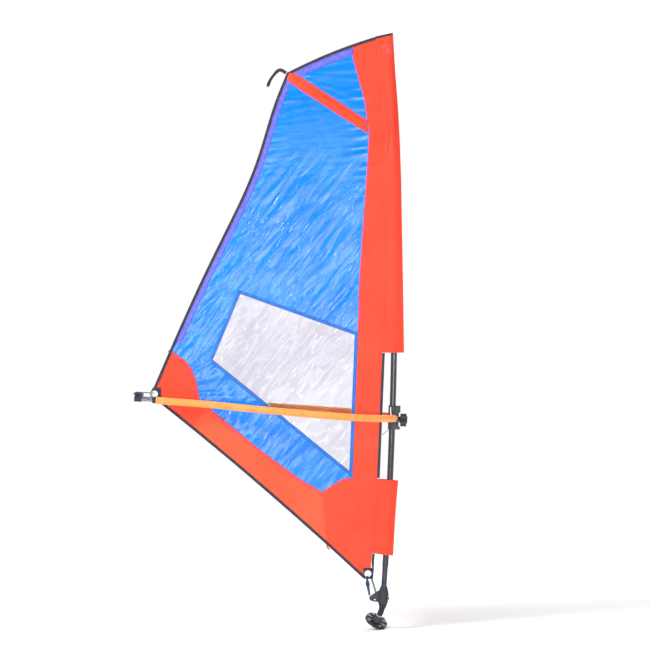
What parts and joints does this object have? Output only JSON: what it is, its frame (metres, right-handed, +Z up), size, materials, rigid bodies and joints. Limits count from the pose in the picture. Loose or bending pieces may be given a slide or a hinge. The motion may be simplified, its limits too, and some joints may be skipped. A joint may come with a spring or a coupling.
{
  "type": "windsurf sail rig",
  "caption": "Child-size windsurf rig: panelled sail with window, curved sleeved mast, wishbone boom, and a screw-in disc foot on a rubber joint.",
  "frame": {"origin": "root of the deck stud, at the middle of the hand disc's underside", "axes": "+Z up along the mast, +X from clew to luff, +Y to the far side of the sail"},
  "size_m": [1.2049, 0.331, 2.6212],
  "materials": {
    "red_cloth": "ripstop nylon",
    "blue_cloth": "glossy film-coated nylon",
    "window_clear": "clear film",
    "blue_tape": "sewn tape",
    "violet_tape": "sewn tape",
    "black_webbing": "woven webbing",
    "mast_black": "glass-fibre tube",
    "mast_grey": "anodised",
    "black_plastic": "moulded nylon",
    "grey_plastic": "moulded acetal",
    "steel": "brushed",
    "white_plastic": "moulded ring",
    "tube_alloy": "anodised",
    "orange_foam": "EVA grip",
    "black_rubber": "moulded rubber",
    "batten_white": "glass-fibre strip",
    "navy_rope": "braided rope",
    "grey_rope": "braided rope",
    "button_plastic": "moulded button"
  },
  "bodies": {
    "rig": {"luff_panel": "red_cloth", "foot_panel": "red_cloth", "clew_panel": "red_cloth", "main_panel": "blue_cloth", "head_panel": "blue_cloth", "window_film": "window_clear", "window_tape": "blue_tape", "leech_tape": "violet_tape", "head_tape": "violet_tape", "leech_binding": "black_webbing", "head_binding": "black_webbing", "foot_binding": "black_webbing", "luff_webbing": "black_webbing", "sleeve_upper": "red_cloth", "sleeve_lower": "red_cloth", "batten_pocket": "red_cloth", "batten": "batten_white", "batten_strap": "black_webbing", "tack_patch": "black_webbing", "tack_grommet": "steel", "clew_patch": "black_webbing", "clew_ring": "white_plastic", "mast_lower": "mast_black", "mast_upper": "mast_black", "mast_ferrule": "mast_grey", "mast_top_plug": "black_plastic", "extension_tube": "mast_grey", "base_fitting": "black_plastic", "base_axle": "steel", "downhaul_cleat": "grey_plastic", "release_spring": "steel", "downhaul": "navy_rope", "downhaul_bundle": "navy_rope"},
    "boom": {"boom_head": "black_plastic", "clamp_liner": "black_rubber", "arm_near": "tube_alloy", "arm_far": "tube_alloy", "grip_near": "orange_foam", "grip_far": "orange_foam", "tie_line": "navy_rope", "clew_lashing": "grey_rope"},
    "pad": {"clamp_pad": "grey_plastic"},
    "knob": {"clamp_knob": "black_plastic"},
    "collar_near": {"collar_near": "black_plastic"},
    "collar_far": {"collar_far": "black_plastic"},
    "tail": {"tail_tubes": "tube_alloy", "tail_fitting": "black_plastic", "tail_axle": "steel", "tail_cleat": "grey_plastic", "outhaul_bundle": "navy_rope", "outhaul": "navy_rope"},
    "tail_sheave": {"tail_sheave": "grey_plastic"},
    "sheave_near": {"base_sheave_near": "grey_plastic"},
    "sheave_far": {"base_sheave_far": "grey_plastic"},
    "button": {"release_button": "button_plastic"},
    "swivel": {"swivel_cup": "black_plastic", "tendon": "black_rubber"},
    "foot": {"tendon_ring": "steel", "foot_disc": "black_plastic", "deck_stud": "steel"}
  },
  "joints": [
    {"name": "boom_height", "type": "slide", "parent": "rig", "child": "boom", "axis": [0.0307, 0, 0.9995], "range_m": [-0.08, 0.08]},
    {"name": "pad_slide", "type": "slide", "parent": "boom", "child": "pad", "axis": [0.9995, 0, -0.0307], "range_m": [0, 0.0048]},
    {"name": "knob_turn", "type": "hinge", "parent": "pad", "child": "knob", "pos_m": [0.11105, -0.02902, 0.90038], "axis": [0.9995, 0, -0.0307], "range_deg": [0, 1370]},
    {"name": "tail_length", "type": "slide", "parent": "boom", "child": "tail", "axis": [-0.9971, 0, 0.076], "range_m": [-0.015, 0.06]},
    {"name": "collar_near_turn", "type": "hinge", "parent": "boom", "child": "collar_near", "pos_m": [-0.97468, -0.06102, 0.98835], "axis": [0.9971, 0, -0.076], "range_deg": [0, 90]},
    {"name": "collar_far_turn", "type": "hinge", "parent": "boom", "child": "collar_far", "pos_m": [-0.97468, 0.00298, 0.98835], "axis": [0.9971, 0, -0.076], "range_deg": [0, 90]},
    {"name": "tail_sheave_spin", "type": "hinge", "parent": "tail", "child": "tail_sheave", "pos_m": [-1.04588, -0.02902, 1.01484], "axis": [0, 1, 0], "continuous": true},
    {"name": "sheave_near_spin", "type": "hinge", "parent": "rig", "child": "sheave_near", "pos_m": [-0.00503, -0.03232, 0.10477], "axis": [0, 1, 0], "continuous": true},
    {"name": "sheave_far_spin", "type": "hinge", "parent": "rig", "child": "sheave_far", "pos_m": [-0.00503, -0.02572, 0.10477], "axis": [0, 1, 0], "continuous": true},
    {"name": "release_press", "type": "slide", "parent": "rig", "child": "button", "axis": [-0.9974, 0, 0.0714], "range_m": [0, 0.0032], "stiffness_N_per_m": 500, "springref_m": -0.001, "deforming": ["release_spring"]},
    {"name": "foot_swivel", "type": "hinge", "parent": "rig", "child": "swivel", "pos_m": [0.03073, -0.02902, 0.10021], "axis": [0.0714, 0, 0.9974], "continuous": true},
    {"name": "tendon_flex", "type": "hinge", "parent": "swivel", "child": "foot", "pos_m": [0.02788, -0.02902, 0.06031], "axis": [0.7752, 0.6293, -0.0555], "range_deg": [-91, 24], "stiffness_Nm_per_rad": 2.5, "deforming": ["tendon"]}
  ],
  "couplings": [
    {"joint": "pad_slide", "follows": "knob_turn", "m_per_rad": 0.0002}
  ]
}
